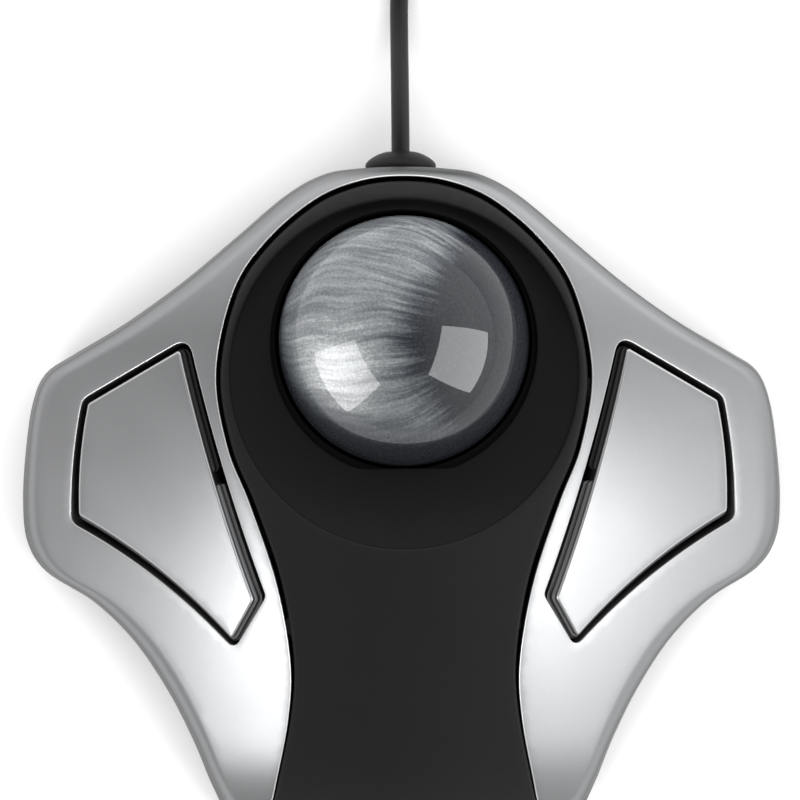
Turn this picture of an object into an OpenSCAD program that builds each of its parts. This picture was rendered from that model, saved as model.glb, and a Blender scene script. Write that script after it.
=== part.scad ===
// Wired trackball: silver two-wing shell, dark centre cover, 40 mm ball, two large buttons.
// Frame: +X right, +Y to the cord end, +Z up. z = 0 is under the feet. Millimetres.

/* [Body] */
// width over the wings
body_w = 125; // [115:1:135]
// depth from palm end to cord end
body_d = 114; // [105:1:125]
// height of the crest beside the ball
crest_h = 36; // [33:0.5:38]
// sideways slope that the wings reach
wing_slope = 0.5; // [0.4:0.01:0.6]
// how much lower the palm end is than the crest
palm_fall = 14; // [10:0.5:18]
// height of the parting line between base and top shell
part_z = 6; // [5:0.5:7]
// wall thickness of the shells
wall = 2.2; // [1.8:0.1:3]
// radius of the rolled outer edge
roll_r = 2.6; // [2:0.2:4]

/* [Ball] */
// ball diameter
ball_d = 40; // [38:0.5:42]
// distance of the ball from the middle of the body
ball_y = 28.2; // [25:0.1:31]
// height of the ball's centre
ball_z = 28; // [27:0.5:30]
// radius of the opening round the ball
opening_r = 21.4; // [20.6:0.1:22]
// radius of the bowl in the cover
bowl_r = 27.3; // [26:0.1:28]
// height of the bowl's floor
bowl_z = 29; // [28.5:0.1:29.5]

/* [Buttons] */
// lean of the button walls
btn_lean = 21; // [15:1:25]
// gap round the centre cover
cover_gap = 0.8; // [0.5:0.1:1.2]
// distance of a switch from the middle
switch_x = 38; // [36:0.5:40]
// how far to the cord end a switch stands
switch_y = 12; // [8:0.5:15]

/* [Cord] */
// cord diameter
cord_d = 3; // [2.5:0.1:4]
// height of the cord's middle where it leaves the body
exit_z = 9; // [8:0.5:12]

/* [Hidden] */
$fn = 48;
hw = body_w / 2;
hd = body_d / 2;
ball_r = ball_d / 2;
floor_z = 0.8;                 // underside of the base
floor_top = floor_z + 2;       // inside of the base floor
board_z = 7;                   // underside of the main board
board_t = 1.6;
board_top = board_z + board_t;
crown_fractions = [0.8, 0.6, 0.4, 0.2];

// half outlines, cord end to palm end, right side
body_half = [
  [0, hd], [7, 56.7], [12.8, 55.7], [19.1, 52.2], [28, 44.7], [36, 38.1], [45.4, 31.4], [53.8, 26.4],
  [58.6, 23.2], [60.8, 18.3], [62, 10.3], [hw, 2], [61.8, -4.6], [58.6, -9.6], [50.8, -14.6],
  [44.2, -21.2], [38.7, -29.5], [34.6, -37.7], [31.5, -45.2], [28.3, -50.8], [22, -54.8],
  [12, -56.6], [0, -hd]
];
cover_half = [
  [0, 54.4], [7, 53.6], [14.2, 50.6], [21.8, 44.1], [27, 36.3], [29.9, 23.4], [28.2, 11.5],
  [24.7, 2.4], [20.5, -10.5], [18.4, -23.4], [18.9, -33.2], [21.2, -45], [22, -50],
  [18, -53], [9, -54.3], [0, -54.6]
];
// opening of the left button and the button itself, round from the outer corner at the cord end
hole_pts = [
  [-51.8, 18.5], [-51.1, 19.5], [-36.2, 28.1], [-34.3, 27.4], [-33.3, 25.2], [-28.5, 6.7], [-22.6, -11.3],
  [-22.7, -13.2], [-26.7, -20.2], [-28.4, -20.2], [-42, -9.2], [-53.4, -1.7], [-54.1, -0.3], [-53.4, 9.4]
];
btn_pts = [
  [-51, 17.8], [-50.4, 18.7], [-36.8, 26.6], [-35.4, 25.9], [-34.8, 24.2], [-30.3, 5.8], [-24.5, -12.2],
  [-24.6, -13.7], [-27.6, -18.9], [-28.5, -18.9], [-41.5, -7.6], [-52.1, -0.7], [-52.7, 0.6], [-52.35, 9.2]
];

// Catmull-Rom curve through the points of a half outline, mirrored at both ends
function flip(p) = [-p[0], p[1]];
function spline(a, b, c, d, t) = 0.5 * (2 * b + (c - a) * t + (2 * a - 5 * b + 4 * c - d) * t * t
  + (3 * b - 3 * c + d - a) * t * t * t);
function half_curve(h, k) = let (n = len(h), q = concat([flip(h[1])], h, [flip(h[n - 2])]))
  [for (i = [1:n - 1], j = [0:k - 1]) spline(q[i - 1], q[i], q[i + 1], q[i + 2], j / k)];
function closed(h, k) = let (c = half_curve(h, k), n = len(c))
  concat(c, [h[len(h) - 1]], [for (i = [n - 1:-1:1]) flip(c[i])]);
function inset(pts, t) = [for (p = pts) p * (1 - t / norm(p))];

// the top surface
function crest(y) = y > ball_y ? crest_h - 8 * pow((y - ball_y) / 29, 2)
  : crest_h - palm_fall * pow((ball_y - y) / 68, 1.7) - 7 * pow(max(0, -34 - y) / 23, 3);
function z_top(x, y) = crest(y) - wing_slope * (sqrt(x * x + 900) - 30);

// rings of points from the bottom edge up to near the middle: edge t in from the outline, drop lower
function crown_rings_of(t, drop, r) = let (base = inset(closed(body_half, 2), t), rim = inset(base, 1 + r))
  concat([[for (p = base) [p[0], p[1], part_z]]],
    [for (a = [0, 30, 60, 90]) let (q = inset(base, 1 + r * (1 - cos(a))))
      [for (p = q) [p[0], p[1], z_top(p[0], p[1]) - drop - r * (1 - sin(a))]]],
    [for (f = crown_fractions) [for (p = rim) [p[0] * f, p[1] * f, z_top(p[0] * f, p[1] * f) - drop]]]);
function all_points(rings, drop) = concat([for (ring = rings) for (p = ring) p], [[0, 0, z_top(0, 0) - drop]]);
// walls and top of a set of m rings of n points, from point number s on
function crown_faces(m, n, s) = concat(
  [for (k = [0:m - 2], i = [0:n - 1]) let (j = (i + 1) % n) [s + k * n + i, s + k * n + j, s + (k + 1) * n + j]],
  [for (k = [0:m - 2], i = [0:n - 1]) let (j = (i + 1) % n)
    [s + k * n + i, s + (k + 1) * n + j, s + (k + 1) * n + i]],
  [for (i = [0:n - 1]) [s + (m - 1) * n + i, s + (m - 1) * n + (i + 1) % n, s + m * n]]);
function turned(faces) = [for (f = faces) [f[2], f[1], f[0]]];

// the whole space under the top surface
module crown() {
  rings = crown_rings_of(0, 0, roll_r);
  m = len(rings);
  n = len(rings[0]);
  polyhedron(concat(all_points(rings, 0), [[0, 0, part_z]]),
    concat(crown_faces(m, n, 0), [for (i = [0:n - 1]) [(i + 1) % n, i, m * n + 1]]));
}
// only a skin of wall thickness under that surface, open at the bottom
module skin() {
  outer = crown_rings_of(0, 0, roll_r);
  inner = crown_rings_of(wall, wall, 2);
  m = len(outer);
  n = len(outer[0]);
  s = m * n + 1;
  polyhedron(concat(all_points(outer, 0), all_points(inner, wall)), concat(crown_faces(m, n, 0),
    turned(crown_faces(m, n, s)),
    [for (i = [0:n - 1]) [(i + 1) % n, i, s + i]], [for (i = [0:n - 1]) [(i + 1) % n, s + i, s + (i + 1) % n]]));
}

// a prism through outline points of the left wing, its walls leaning with the surface
module lean_prism(pts, h0 = 0, h1 = 60) {
  c = cos(btn_lean);
  s = sin(btn_lean);
  rotate([0, -btn_lean, 0]) translate([0, 0, h0]) linear_extrude(h1 - h0)
    polygon([for (p = pts) [p[0] * c + z_top(p[0], p[1]) * s, p[1]]]);
}
module sides() { children(); mirror([1, 0, 0]) children(); }

// hinge pin of the left button
pin = [-29.6, -12.6];
pin_z = z_top(pin[0], pin[1]) - 5.5;
module at_pin() { translate([pin[0], pin[1], pin_z]) rotate([0, 0, 20]) rotate([0, -22, 0]) children(); }
module along_x(r, h) { rotate([0, 90, 0]) cylinder(r = r, h = h, center = true); }

// places that several parts share
shell_posts = [[56.6, 7], [30.6, 36.6], [27, -42]];
cover_posts = [[12, -28], [12, -46]];
board_posts = [[17.5, -18.4], [42, -4], [42, 19]];
socket_posts = [for (a = [20, 160, 200, 340]) [26 * cos(a), ball_y + 26 * sin(a)]];
sensor_tip = 25;               // how far below level the sensor looks at the ball
bearing_at = [90, 210, 330];
module to_sensor() { translate([0, ball_y, ball_z]) rotate([90 + sensor_tip, 0, 0]) children(); }
module at_bearings() { translate([0, ball_y, ball_z]) for (a = bearing_at) rotate([0, 0, a])
  rotate([0, 128, 0]) children(); }

module top_shell() color("silver") {
  difference() {
    union() {
      skin();
      // bosses for the case screws
      for (p = shell_posts) sides() translate([p[0], p[1], part_z])
        cylinder(r = 2.7, h = z_top(p[0], p[1]) - wall - part_z - 0.9);
    }
    linear_extrude(80) polygon(closed(cover_half, 2));
    sides() lean_prism(hole_pts, -2);
    translate([0, hd + 1, exit_z]) rotate([90, 0, 0]) cylinder(r = 6, h = 2.2);
    translate([0, hd + 1, exit_z]) rotate([90, 0, 0]) cylinder(r = 4, h = 6);
    for (p = shell_posts) sides() translate([p[0], p[1], 0]) cylinder(r = 1.1, h = part_z + 4);
  }
}

module centre_cover() color("dimgray") {
  edge = inset(closed(cover_half, 2), cover_gap);
  difference() {
    union() {
      intersection() {
        skin();
        translate([0, 0, 10]) linear_extrude(40) polygon(edge);
      }
      // thick collar round the bowl
      intersection() {
        crown();
        translate([0, 0, bowl_z - 2]) linear_extrude(20) intersection() {
          polygon(edge);
          translate([0, 22.5]) circle(r = bowl_r + 1.6, $fn = 96);
        }
      }
      for (p = cover_posts) sides() translate([p[0], p[1], 10])
        cylinder(r = 3, h = z_top(p[0], p[1]) - wall - 10.9);
    }
    translate([0, 22.5, bowl_z]) cylinder(r = bowl_r, h = 20);
    intersection() {
      translate([0, ball_y, 20]) cylinder(r = opening_r, h = 20);
      translate([-40, ball_y - ball_r - 0.3, 19]) cube([80, 60, 22]);
    }
    for (p = cover_posts) sides() translate([p[0], p[1], 9]) cylinder(r = 1.1, h = 6);
  }
}

module left_button() color("silver") {
  difference() {
    union() {
      intersection() {
        skin();
        lean_prism(btn_pts);
      }
      translate([-switch_x, switch_y, board_top + 7.48]) cylinder(r = 1.6, h = 8);
      at_pin() { along_x(2.2, 6); translate([-3, -2.2, 0]) cube([6, 4.4, 4]); }
    }
    at_pin() along_x(1.15, 30);
  }
}
module right_button() mirror([1, 0, 0]) left_button();

module hinge_pins() color("gray") sides() at_pin() along_x(1, 15);

module base_shell() color("dimgray") {
  rim = inset(closed(body_half, 4), 0.8);
  difference() {
    union() {
      difference() {
        union() {
          translate([0, 0, 3]) linear_extrude(part_z - 3) polygon(rim);
          translate([0, 0, floor_z]) linear_extrude(2.2) polygon(inset(rim, 1));
        }
        translate([0, 0, floor_top]) linear_extrude(20) polygon(inset(rim, 1 + wall));
      }
      for (p = shell_posts) sides() translate([p[0], p[1], floor_top]) cylinder(r = 2.7, h = part_z - floor_top);
      for (p = cover_posts) sides() translate([p[0], p[1], floor_top]) cylinder(r = 3, h = 10 - floor_top);
      for (p = board_posts) sides() translate([p[0], p[1], floor_top]) cylinder(r = 2.6, h = board_z - floor_top);
      for (p = socket_posts) translate([p[0], p[1], floor_top]) cylinder(r = 2.7, h = bowl_z - 4.4 - floor_top);
      // stands that hold the button pins
      sides() for (d = [-6, 6]) {
        translate([pin[0], pin[1], floor_top]) rotate([0, 0, 20]) translate([d * cos(22) - 1.5, -2.2, 0])
          cube([3, 4.4, pin_z - floor_top + d * sin(22) - 0.6]);
        at_pin() translate([d, 0, 0]) along_x(2.2, 3);
      }
    }
    sides() at_pin() along_x(1, 15);
    for (p = concat(shell_posts, cover_posts)) sides() translate([p[0], p[1], -1]) {
      cylinder(r = 1.4, h = 20);
      cylinder(r = 1.9, h = 2.8);
    }
    for (p = board_posts) sides() translate([p[0], p[1], board_z - 4]) cylinder(r = 0.8, h = 10);
    for (p = socket_posts) translate([p[0], p[1], bowl_z - 12]) cylinder(r = 0.9, h = 20);
    for (p = feet_at) sides() translate([p[0], p[1], floor_z - 1]) cylinder(r = p[2], h = 1.5);
    translate([0, hd + 1, exit_z]) rotate([90, 0, 0]) cylinder(r = 6, h = 2.2);
    translate([0, hd + 1, exit_z]) rotate([90, 0, 0]) cylinder(r = 4, h = 8);
  }
}

feet_at = [[49, 12, 6], [14.5, 46.5, 4.5], [19.5, -46.5, 5]];
module feet() color("black") for (p = feet_at) sides() translate([p[0], p[1], 0]) cylinder(r = p[2], h = floor_z + 0.5);

module case_screws() color("gray") {
  for (p = shell_posts) sides() translate([p[0], p[1], 0]) {
    translate([0, 0, 1]) cylinder(r = 1.7, h = 0.8);
    translate([0, 0, 1.8]) cylinder(r = 1.1, h = part_z + 1.6);
  }
  for (p = cover_posts) sides() translate([p[0], p[1], 0]) {
    translate([0, 0, 1]) cylinder(r = 1.7, h = 0.8);
    translate([0, 0, 1.8]) cylinder(r = 1.1, h = 12);
  }
}

module ball() color("slategray") translate([0, ball_y, ball_z]) sphere(r = ball_r, $fn = 64);

module ball_socket() color("gray") difference() {
  union() {
    translate([0, ball_y, 0]) rotate_extrude($fn = 96) difference() {
      union() {
        intersection() { translate([0, ball_z]) circle(r = ball_r + 2.4); translate([0, 0]) square([30, bowl_z - 2]); }
        translate([ball_r + 0.6, bowl_z - 4.4]) square([3.8, 2.4]);
      }
      translate([0, ball_z]) circle(r = ball_r + 0.6);
      translate([-60, -1]) square([60, 60]);
    }
    // lugs over the base posts
    for (p = socket_posts) translate([p[0], p[1], bowl_z - 4.4]) cylinder(r = 3.2, h = 2.4);
    // seats of the bearings, and two feet for the sensor board
    at_bearings() translate([0, 0, ball_r + 1.2]) cylinder(r = 2.6, h = 3.2);
    to_sensor() for (d = [-9, 9]) translate([d - 1.5, -1.5, ball_r - 0.7]) cube([3, 3, 8.1]);
  }
  at_bearings() translate([0, 0, ball_r]) cylinder(r = 1.5, h = 3.05);
  to_sensor() translate([0, 0, ball_r - 2]) cylinder(r = 4, h = 8);
  to_sensor() for (d = [-9, 9]) translate([d, 0, ball_r + 3]) cylinder(r = 0.8, h = 6);
  for (p = socket_posts) translate([p[0], p[1], bowl_z - 5]) cylinder(r = 0.9, h = 4);
  for (p = socket_posts) translate([p[0], p[1], bowl_z - 3.4]) cylinder(r = 2.2, h = 4);
}
module support_bearings() color("white") at_bearings() translate([0, 0, ball_r + 1.55]) sphere(r = 1.5);
module socket_screws() color("gray") for (p = socket_posts) translate([p[0], p[1], 0]) {
  translate([0, 0, bowl_z - 3.4]) cylinder(r = 1.7, h = 1);
  translate([0, 0, bowl_z - 11]) cylinder(r = 0.9, h = 7.6);
}

module main_board() color("darkgreen") difference() {
  translate([0, 0, board_z]) linear_extrude(board_t) difference() {
    union() {
      translate([-20, -21]) square([40, 20]);
      translate([-45, -7]) square([90, 6]);
      for (x = [-46, 30]) translate([x, -7]) square([16, 29]);
    }
    for (p = board_posts) for (s = [-1, 1]) translate([s * p[0], p[1]]) circle(r = 1);
  }
}
module board_screws() color("gray") {
  for (p = board_posts) sides() translate([p[0], p[1], 0]) {
    translate([0, 0, board_top]) cylinder(r = 1.9, h = 1.1);
    translate([0, 0, board_z - 3.4]) cylinder(r = 0.8, h = board_t + 3.4);
  }
  to_sensor() for (d = [-9, 9]) translate([d, 0, 0]) {
    translate([0, 0, ball_r + 9]) cylinder(r = 1.6, h = 1);
    translate([0, 0, ball_r + 3.6]) cylinder(r = 0.8, h = 5.4);
  }
}

// sensor group on its own small board, seen along the line from the ball to the sensor
module sensor_board() color("darkgreen") to_sensor() difference() {
  translate([-12, -7, ball_r + 7.4]) cube([24, 14, board_t]);
  for (d = [-9, 9]) translate([d, 0, ball_r]) cylinder(r = 0.8, h = 12);
}
module sensor_chip() color("black") to_sensor() difference() {
  translate([-5, -4.5, ball_r + 5]) cube([10, 9, 2.4]);
  translate([0, 0, ball_r + 4]) cylinder(r = 1, h = 2);
}
module sensor_lens() color("lightblue") to_sensor() {
  translate([0, 0, ball_r + 1.2]) cylinder(r = 3.6, h = 2.2);
  translate([-4.8, -4.3, ball_r + 3.4]) cube([9.6, 8.6, 1.6]);
}
module sensor_led() color("red") to_sensor() translate([6.8, 4.6, ball_r + 4.2]) {
  cylinder(r = 1, h = 3.2);
  sphere(r = 1);
}

module controller_chip() color("black") {
  translate([-5, -15, board_top + 0.2]) cube([10, 10, 1.6]);
  for (s = [-1, 1], i = [-4:4]) {
    translate([i * 1.1 - 0.2, s * 5.8 - 10.6, board_top]) cube([0.4, 1.2, 0.2]);
    translate([s * 5.8 - 0.6, i * 1.1 - 10.2, board_top]) cube([1.2, 0.4, 0.2]);
  }
}
module crystal() color("silver") translate([11, -10, board_top]) linear_extrude(3)
  intersection() { square([4.6, 10], center = true); circle(r = 5.2); }
module board_parts() color("tan") {
  for (i = [0:5]) translate([-15 + i * 5, -19.4, board_top]) cube([2, 1.2, 0.9]);
  for (i = [0:3]) translate([-13, -14 + i * 3, board_top]) cube([2, 1.2, 0.9]);
}
module capacitors() color("black") for (x = [24, 31]) translate([x, -4, board_top]) cylinder(r = 2.5, h = 6);
module cable_connector() color("white") translate([30.3, 14, board_top]) difference() {
  cube([4.6, 8, 5]);
  translate([1, 1, 1.6]) cube([2.6, 8, 5]);
}

module switch_left() color("black") translate([-switch_x, switch_y - 3, board_top]) difference() {
  translate([-2.9, -6.4, 0]) cube([5.8, 12.8, 6.5]);
  translate([-0.8, 1.4, 3.4]) cube([1.6, 3.2, 8]);
}
module switch_right() mirror([1, 0, 0]) switch_left();
module plunger_left() color("firebrick") translate([-switch_x - 0.6, switch_y - 1.4, board_top + 4.4])
  cube([1.2, 2.8, 3]);
module plunger_right() mirror([1, 0, 0]) plunger_left();

// cord: grommet, tube with 8 sides along a chosen route, coil, plug
module grommet() color("black") translate([0, hd, exit_z]) rotate([-90, 0, 0]) difference() {
  union() {
    translate([0, 0, -1.1]) cylinder(r = 5.8, h = 2.3);
    translate([0, 0, -4.4]) cylinder(r = 3.9, h = 6);
    translate([0, 0, 1.2]) cylinder(r = 4.4, h = 0.9);
    translate([0, 0, 2.1]) cylinder(r = 2.8, h = 0.9);
  }
  translate([0, 0, -6]) cylinder(r = cord_d / 2 + 0.1, h = 20);
}

route_in = [[0, 52.4, 9], [0, 58, 9], [0, 63, 8.8], [0, 68, 7.6], [0, 73, 5.6], [0, 78, 3.4], [0, 83, 2],
  [0, 88, 1.6], [-1, 94, 1.6], [-3.6, 100, 1.6], [-7, 106, 1.6], [-10, 112, 2], [-11.2, 118, 2.4]];
route_out = [[11, 141.6, 8], [16, 142.3, 7], [22, 142.5, 5.6], [27, 142.5, 5], [33, 142.5, 5]];
route_lead = [[0, 52.4, 9], [0.4, 50.4, 9], [3.4, 46.6, 9], [9, 43, 9], [15, 38, 9], [19, 32, 9.2], [24, 28.6, 10.4],
  [29.4, 27, 11.6], [32.2, 24, 11.8], [32.6, 20.5, 11.7], [32.6, 16.5, 11.6]];

function smooth(pts, k) = let (n = len(pts))
  concat([for (i = [0:n - 2], j = [0:k - 1])
    spline(pts[max(i - 1, 0)], pts[i], pts[i + 1], pts[min(i + 2, n - 1)], j / k)], [pts[n - 1]]);
function unit(v) = v / norm(v);
module tube(pts, r) {
  n = len(pts);
  ring = [for (i = [0:n - 1]) let (d = unit(pts[min(i + 1, n - 1)] - pts[max(i - 1, 0)]),
      u = unit(cross(d, [0.02, 0.01, 1])), v = cross(u, d))
    for (a = [22.5:45:359]) pts[i] + r * (cos(a) * u + sin(a) * v)];
  polyhedron(ring, concat([[for (i = [7:-1:0]) i]], [[for (i = [0:7]) (n - 1) * 8 + i]],
    [for (k = [0:n - 2], i = [0:7]) [k * 8 + i, k * 8 + (i + 1) % 8, (k + 1) * 8 + (i + 1) % 8]],
    [for (k = [0:n - 2], i = [0:7]) [k * 8 + i, (k + 1) * 8 + (i + 1) % 8, (k + 1) * 8 + i]]));
}
module cord_tube() color("black") { tube(smooth(route_in, 1), cord_d / 2); tube(route_out, cord_d / 2); }
module inner_lead() color("black") tube(smooth(route_lead, 2), 1.2);
module cord_coil() color("black") translate([12, 118, 0.8]) rotate_extrude($fn = 64)
  translate([12, 0]) difference() {
    square([12.6, 9.6]);
    for (q = [[0, 0], [12.6, 0], [0, 9.6], [12.6, 9.6]]) translate(q) rotate(45) square(2.6, center = true);
  }
module cord_tie() color("black") translate([30.3, 118, 5.6]) difference() {
  cube([14.2, 4, 11.2], center = true);
  cube([12.6, 6, 9.6], center = true);
}
plug_at = [30, 142.5, 5];
module usb_overmould() color("black") translate(plug_at) difference() {
  union() {
    translate([0, 0, 0]) rotate([0, 90, 0]) cylinder(r = 2.6, h = 8);
    translate([7, -7.5, -4.2]) cube([22, 15, 8.4]);
  }
  translate([-1, 0, 0]) rotate([0, 90, 0]) cylinder(r = cord_d / 2, h = 5);
}
module usb_metal() color("silver") translate(plug_at) difference() {
  translate([29, -6, -2.25]) cube([12.2, 12, 4.5]);
  translate([29, -5.7, -1.95]) cube([14, 11.4, 3.9]);
  for (s = [-2.4, 2.4]) translate([33, s - 1, 0]) cube([2.2, 2, 6]);
}
module usb_tongue() color("white") translate(plug_at) translate([29, -5.5, -1.9]) cube([11.6, 11, 1.8]);
module usb_contacts() color("gold") translate(plug_at) for (y = [-3.5, -1, 1, 3.5])
  translate([32, y - 0.5, -0.1]) cube([8, 1, 0.2]);

base_shell();
top_shell();
centre_cover();
left_button();
right_button();
hinge_pins();
ball();
ball_socket();
support_bearings();
socket_screws();
main_board();
board_screws();
sensor_board();
sensor_chip();
sensor_lens();
sensor_led();
controller_chip();
crystal();
board_parts();
capacitors();
cable_connector();
switch_left();
switch_right();
plunger_left();
plunger_right();
feet();
case_screws();
inner_lead();
grommet();
cord_tube();
cord_coil();
cord_tie();
usb_overmould();
usb_metal();
usb_tongue();
usb_contacts();
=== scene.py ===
"""Looks of the wired trackball: camera, cord, shells, ball, materials and studio. Shapes are in millimetres
and become metres when a mesh is made. Frame: +X right, +Y to the cord end, +Z up, z = 0 under the feet."""
import bpy
import math
import numpy as np
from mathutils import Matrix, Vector, geometry


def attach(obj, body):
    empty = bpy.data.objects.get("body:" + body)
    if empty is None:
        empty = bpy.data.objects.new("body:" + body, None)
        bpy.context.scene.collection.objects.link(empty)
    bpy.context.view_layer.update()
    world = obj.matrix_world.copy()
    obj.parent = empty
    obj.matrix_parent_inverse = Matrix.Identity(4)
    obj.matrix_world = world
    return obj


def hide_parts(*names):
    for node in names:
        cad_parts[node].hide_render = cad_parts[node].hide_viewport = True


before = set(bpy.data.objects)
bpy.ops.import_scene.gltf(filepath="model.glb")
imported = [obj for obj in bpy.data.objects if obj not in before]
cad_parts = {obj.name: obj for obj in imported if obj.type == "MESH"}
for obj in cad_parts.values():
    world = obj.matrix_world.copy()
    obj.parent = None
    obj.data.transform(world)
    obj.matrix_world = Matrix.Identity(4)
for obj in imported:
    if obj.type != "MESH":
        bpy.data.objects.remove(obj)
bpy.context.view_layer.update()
MM = 0.001

# ------------------------------------------------------------------ camera, straight above
cam_data = bpy.data.cameras.new("camera")
cam = bpy.data.objects.new("camera", cam_data)
bpy.context.scene.collection.objects.link(cam)
cam.location = (-0.0120, 0.0264, 0.650)
cam.rotation_euler = (-0.0122, -0.0183, -0.0055)
cam_data.lens = 175.5
cam_data.sensor_width = 36
cam_data.clip_start, cam_data.clip_end = 0.05, 20
bpy.context.scene.camera = cam

# ------------------------------------------------------------------ curves
BODY = [(0, 57), (7, 56.7), (12.8, 55.7), (19.1, 52.2), (28, 44.7), (36, 38.1), (45.4, 31.4), (53.8, 26.4),
        (58.6, 23.2), (60.8, 18.3), (62, 10.3), (62.5, 2), (61.8, -4.6), (58.6, -9.6), (50.8, -14.6),
        (44.2, -21.2), (38.7, -29.5), (34.6, -37.7), (31.5, -45.2), (28.3, -50.8), (22, -54.8),
        (12, -56.6), (0, -57)]
COVER = [(0, 54.4), (7, 53.6), (14.2, 50.6), (21.8, 44.1), (27, 36.3), (29.9, 23.4), (28.2, 11.5),
         (24.7, 2.4), (20.5, -10.5), (18.4, -23.4), (18.9, -33.2), (21.2, -45), (22, -50),
         (18, -53), (9, -54.3), (0, -54.6)]
BALL = (0, 28.2, 28)
BALL_R = 20
# the cover's opening for the ball: a circle a little towards the palm, cut straight at its front
OPEN_R, OPEN_DROP, OPEN_FLAT, OPEN_Z = 21.2, 0.45, 20.3, 29.1
BOWL_R, BOWL_Y, BOWL_FOOT = 27.7, 22.9, 27
# wall thickness, roll-off radius at the silhouette, height of the parting line, lean of the buttons' walls
WALL, ROLL, PART, LEAN = 2.2, 2.6, 6, math.radians(21)
SHELL_POSTS, COVER_POSTS = [(56.6, 7), (30.6, 36.6), (27, -42)], [(12, -28), (12, -46)]
BOARD_POSTS, SOCKET_POSTS = [(17.5, -18.4), (42, -4), (42, 19)], [(24.43, 37.09), (24.43, 19.31)]
FEET = [(49, 12, 6), (14.5, 46.5, 4.5), (19.5, -46.5, 5)]
HINGE, PUSHER = (29.6, -12.6), (38, 12)
# height of the top at the ball, and how far it falls from there to the cord end, to the palm end and at the
# last curve before the palm end
CREST, CORD_FALL, PALM_FALL, LAST_FALL, LAST_Y = 36, 8, 14, 7, -34
GROMMET = (0, 57, 9)
CORD_R, COIL_X, COIL_Y, PLUG_Y, PLUG_Z = 1.5, 12, 118, 142.5, 5


def crest(y):
    """Height of the top along the middle line: highest at the ball, steeper at the palm end."""
    if y > BALL[1]:
        return CREST - CORD_FALL * ((y - BALL[1]) / 29) ** 2
    last = LAST_FALL * (max(0, LAST_Y - y) / 23) ** 3
    return CREST - PALM_FALL * ((BALL[1] - y) / 68) ** 1.7 - last


def z_top(x, y):
    """Height of the top before the roll-off at the silhouette."""
    return crest(y) - 0.5 * (math.sqrt(x * x + 900) - 30)


def spline(a, b, c, d, t):
    """A point between b and c on the smooth curve through four points."""
    return 0.5 * (2 * b + (c - a) * t + (2 * a - 5 * b + 4 * c - d) * t * t + (3 * b - 3 * c + d - a) * t ** 3)


def smooth_line(points, k):
    """A curve through the points, k steps for each stretch."""
    q = np.array(points, float)
    q = np.vstack([2 * q[0] - q[1], q, 2 * q[-1] - q[-2]])
    line = [spline(*q[i:i + 4], j / k) for i in range(len(q) - 3) for j in range(k)]
    return np.array(line + [q[-2]])


def even(loop, step):
    """A closed loop again, with points about step apart."""
    p = np.vstack([loop, loop[:1]])
    along = np.concatenate([[0], np.cumsum(np.linalg.norm(np.diff(p, axis=0), axis=1))])
    at = np.linspace(0, along[-1], int(along[-1] / step) + 1)[:-1]
    return np.stack([np.interp(at, along, p[:, i]) for i in (0, 1)], axis=1)


def outline(half, step):
    """The whole smooth outline from its right half, turning clockwise from the cord end."""
    h = np.array(half, float)
    q = np.vstack([h[1] * (-1, 1), h, h[-2] * (-1, 1)])
    c = np.array([spline(*q[i:i + 4], j / 12) for i in range(len(h) - 1) for j in range(12)] + [h[-1]])
    return even(np.vstack([c, (c * (-1, 1))[-2:0:-1]]), step)


def cut_of(corners, i):
    """How far from a corner its rounding starts, in radii."""
    n = len(corners)
    p, a, b = (np.array(corners[k % n][:2], float) for k in (i, i - 1, i + 1))
    u, v = (a - p) / np.linalg.norm(a - p), (b - p) / np.linalg.norm(b - p)
    return 1 / math.tan(math.acos(np.clip(u @ v, -1, 1)) / 2)


def rounded(corners, step=0.45):
    """A closed outline with rounded corners and bowed edges. A corner is x, y, radius and the bow of the edge
    after it."""
    out, n = [], len(corners)
    edges = []
    for i in range(n):
        a, b = np.array(corners[i][:2], float), np.array(corners[(i + 1) % n][:2], float)
        side = np.array([b[1] - a[1], a[0] - b[0]]) / np.linalg.norm(b - a)
        edges.append((a, b, side * corners[i][3]))

    def on(e, t):
        a, b, bow = edges[e]
        return a + (b - a) * t + bow * 4 * t * (1 - t)

    for i in range(n):
        r, prev = corners[i][2], (i - 1) % n
        long_in = np.linalg.norm(edges[prev][1] - edges[prev][0])
        long_out = np.linalg.norm(edges[i][1] - edges[i][0])
        next_cut = corners[(i + 1) % n][2] * cut_of(corners, (i + 1) % n) / long_out
        cut = r * cut_of(corners, i)
        p, c, q = on(prev, 1 - cut / long_in), np.array(corners[i][:2], float), on(i, cut / long_out)
        for t in np.linspace(0, 1, 9)[:-1]:
            out.append((1 - t) ** 2 * p + 2 * t * (1 - t) * c + t * t * q)
        count = max(2, int(long_out / step))
        out += [on(i, t) for t in np.linspace(cut / long_out, 1 - next_cut, count)[:-1]]
    return even(np.array(out), step)


def radius_by_angle(loop):
    """A function giving a loop's distance from the middle on the ray through (x, y)."""
    angle, far = np.arctan2(loop[:, 1], loop[:, 0]), np.linalg.norm(loop, axis=1)
    return lambda x, y: np.interp(np.arctan2(y, x), angle, far, period=2 * math.pi)


def turned(loop):
    """+1 if a loop runs anticlockwise, else -1."""
    x, y = loop[:, 0], loop[:, 1]
    return 1 if (x * np.roll(y, -1) - np.roll(x, -1) * y).sum() > 0 else -1


def normals(loop):
    """Outward directions, square to the loop at each point."""
    d = np.roll(loop, -1, axis=0) - np.roll(loop, 1, axis=0)
    return np.stack([d[:, 1], -d[:, 0]], axis=1) / np.linalg.norm(d, axis=1)[:, None] * turned(loop)


def grown(loop, by):
    """The loop moved outward by that much, square to itself."""
    return loop + normals(loop) * by


def inset(loop, t):
    """The loop drawn in towards the middle, along its radii."""
    return loop * (1 - t / np.linalg.norm(loop, axis=1))[:, None]


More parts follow.
